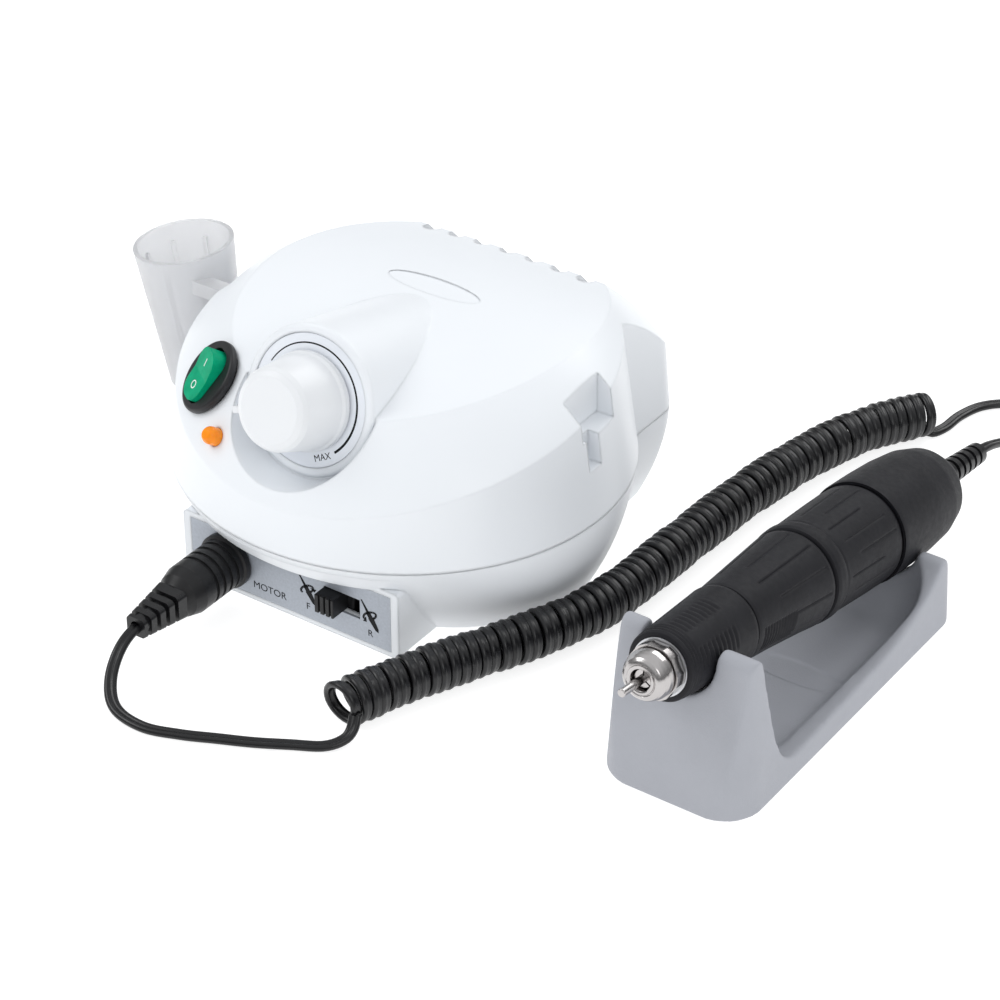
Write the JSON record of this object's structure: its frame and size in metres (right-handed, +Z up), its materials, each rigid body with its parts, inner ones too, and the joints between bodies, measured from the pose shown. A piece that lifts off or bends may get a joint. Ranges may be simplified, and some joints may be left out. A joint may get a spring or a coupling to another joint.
{
  "type": "electric nail drill",
  "caption": "Desktop electric nail drill: domed control unit with a large speed knob, corded handpiece lying in a cradle, coiled cord and a hook-on bit cup.",
  "frame": {"origin": "middle of the whole set's bounding box, on the table", "axes": "+Z up; the control unit's front panel faces -Y; +X to the right seen from the front, towards the cradle"},
  "size_m": [0.2558, 0.2897, 0.0884],
  "materials": {
    "casing": "satin",
    "panel_grey": "satin",
    "ring_silver": "satin",
    "black_plastic": "satin",
    "black_gloss": "gloss",
    "green_lens": "gloss",
    "orange_lens": "gloss",
    "steel": "polished",
    "dark_steel": "satin",
    "copper": "satin",
    "board_green": "satin",
    "aluminium": "satin",
    "rubber": "matte",
    "charcoal": "satin",
    "ceramic_magnet": "matte",
    "glass": "clear",
    "stand_grey": "satin",
    "clear_cup": "frosted plastic"
  },
  "bodies": {
    "control_unit": {"upper_shell": "casing", "lower_shell": "casing", "front_panel": "panel_grey", "feet": "rubber", "case_screws": "dark_steel", "scale_ring": "ring_silver", "potentiometer": "black_plastic", "potentiometer_nut": "steel", "switch_housing": "black_gloss", "lamp_lens": "orange_lens", "direction_switch": "black_plastic", "motor_socket": "black_plastic", "cord_coil": "rubber", "circuit_board": "board_green", "inner_screws": "dark_steel", "filter_capacitor": "aluminium", "heat_sink": "aluminium", "transformer_core": "dark_steel", "transformer_winding": "copper", "transformer_bracket": "dark_steel", "mains_inlet": "black_plastic", "pedal_jack": "black_plastic", "cradle": "stand_grey"},
    "knob": {"speed_knob": "casing", "potentiometer_shaft": "steel"},
    "rocker": {"power_rocker": "green_lens"},
    "direction": {"direction_slider": "black_plastic"},
    "plug": {"plug_shell": "steel", "plug_pins": "copper", "plug_body": "black_plastic", "plug_boot": "rubber", "plug_lead": "rubber"},
    "fuse_tray": {"fuse_drawer": "black_plastic", "fuse": "glass"},
    "cup": {"bit_cup": "clear_cup"},
    "handpiece": {"nose_cap": "steel", "nose_nut": "steel", "front_housing": "aluminium", "front_grip": "charcoal", "ball_bearings": "steel", "middle_housing": "aluminium", "motor_sleeve": "charcoal", "motor_can": "dark_steel", "motor_magnets": "ceramic_magnet", "motor_end_cap": "black_plastic", "motor_brushes": "charcoal", "rear_cap": "charcoal", "handpiece_boot": "rubber", "handpiece_lead": "rubber"},
    "twist": {"twist_sleeve": "charcoal"},
    "release": {"release_ring": "steel"},
    "drive": {"spindle": "steel", "chuck_spring": "steel", "motor_shaft": "steel", "rotor": "dark_steel", "rotor_windings": "copper", "commutator": "copper"},
    "chuck": {"drawbar": "steel", "collet": "steel"},
    "bit": {"bit_shank": "steel"}
  },
  "joints": [
    {"name": "knob_turn", "type": "hinge", "parent": "control_unit", "child": "knob", "pos_m": [-0.0261, -0.07242, 0.06955], "axis": [0, 0.9537, -0.3007], "range_deg": [0, 240]},
    {"name": "rocker_tilt", "type": "hinge", "parent": "control_unit", "child": "rocker", "pos_m": [-0.06152, -0.06751, 0.06308], "axis": [-0.8155, 0.5787, 0], "range_deg": [0, 18]},
    {"name": "direction_slide", "type": "slide", "parent": "control_unit", "child": "direction", "axis": [1, 0, 0], "range_m": [0, 0.0054]},
    {"name": "plug_pull", "type": "slide", "parent": "control_unit", "child": "plug", "axis": [0, -1, 0], "range_m": [0, 0.014]},
    {"name": "fuse_drawer_slide", "type": "slide", "parent": "control_unit", "child": "fuse_tray", "axis": [0, 1, 0], "range_m": [0, 0.018]},
    {"name": "cup_lift", "type": "slide", "parent": "control_unit", "child": "cup", "axis": [0, 0, 1], "range_m": [0, 0.03]},
    {"name": "handpiece_lift", "type": "slide", "parent": "control_unit", "child": "handpiece", "axis": [0, 0, 1], "range_m": [0, 0.06]},
    {"name": "chuck_twist", "type": "hinge", "parent": "handpiece", "child": "twist", "pos_m": [0.1029, -0.04334, 0.03691], "axis": [0, 0.9871, -0.1599], "range_deg": [0, 60]},
    {"name": "release_slide", "type": "slide", "parent": "handpiece", "child": "release", "axis": [0, -0.9871, 0.1599], "range_m": [0, 0.0028]},
    {"name": "drive_spin", "type": "hinge", "parent": "handpiece", "child": "drive", "pos_m": [0.1029, -0.04334, 0.03691], "axis": [0, 0.9871, -0.1599], "continuous": true},
    {"name": "chuck_open", "type": "slide", "parent": "drive", "child": "chuck", "axis": [0, -0.9871, 0.1599], "range_m": [0, 0.0013]},
    {"name": "bit_pull", "type": "slide", "parent": "chuck", "child": "bit", "axis": [0, -0.9871, 0.1599], "range_m": [0, 0.024]}
  ],
  "couplings": [
    {"joint": "release_slide", "follows": "chuck_twist", "m_per_rad": 0.002578},
    {"joint": "chuck_open", "follows": "chuck_twist", "m_per_rad": 0.001146}
  ]
}
